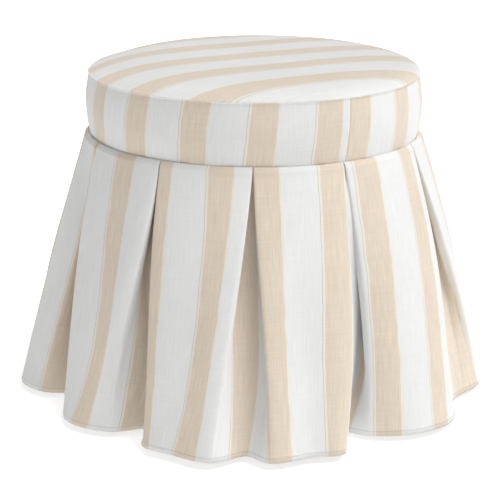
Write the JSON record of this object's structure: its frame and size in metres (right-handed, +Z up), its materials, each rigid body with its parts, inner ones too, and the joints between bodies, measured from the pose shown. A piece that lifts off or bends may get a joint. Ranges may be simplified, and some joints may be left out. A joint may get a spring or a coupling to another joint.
{
  "type": "skirted ottoman",
  "caption": "Round padded ottoman with a striped cover, a boxing band and a floor-length box-pleated skirt over a plywood frame with hidden legs",
  "frame": {"origin": "on the floor under the middle of the round seat, at the middle of the skirt's reach", "axes": "+Z up; the pictured front faces -Y; +X to the right as seen from the front"},
  "size_m": [0.6514, 0.7257, 0.4605],
  "materials": {
    "striped_cover": "slubby woven linen and cotton, white with sand-coloured stripes",
    "lining_cloth": "plain cotton lining, off-white",
    "wadding": "polyester wadding, matte and loose",
    "foam": "upholstery foam, open cells",
    "burlap": "coarse jute cloth",
    "jute_webbing": "woven jute webbing",
    "plywood": "birch plywood, raw, sawn edge",
    "softwood": "planed pine, raw",
    "fibreboard": "thin hardboard, smooth face",
    "leg_wood": "stained hardwood, satin",
    "glide_plastic": "moulded nylon, matte",
    "zinc_steel": "zinc-plated steel",
    "card": "pressed grey-brown card",
    "cambric": "black non-woven dust cloth"
  },
  "bodies": {
    "root": {"seat_top_cover": "striped_cover", "boxing_band": "striped_cover", "skirt": "striped_cover", "skirt_lining": "lining_cloth", "wadding_cap": "wadding", "foam_core": "foam", "deck_cloth": "burlap", "webbing_lengthwise": "jute_webbing", "webbing_crosswise": "jute_webbing", "top_ring": "plywood", "bottom_ring": "plywood", "spacer_blocks": "softwood", "side_hoop": "fibreboard", "leg_front_left": "leg_wood", "leg_front_right": "leg_wood", "leg_back_left": "leg_wood", "leg_back_right": "leg_wood", "glide_front_left": "glide_plastic", "glide_front_right": "glide_plastic", "glide_back_left": "glide_plastic", "glide_back_right": "glide_plastic", "leg_screws": "zinc_steel", "upper_block_screws": "zinc_steel", "lower_block_screws": "zinc_steel", "webbing_staples": "zinc_steel", "deck_staples": "zinc_steel", "band_staples": "zinc_steel", "tack_strip": "card", "skirt_staples": "zinc_steel", "dust_cover": "cambric", "dust_cover_staples": "zinc_steel"}
  },
  "joints": []
}
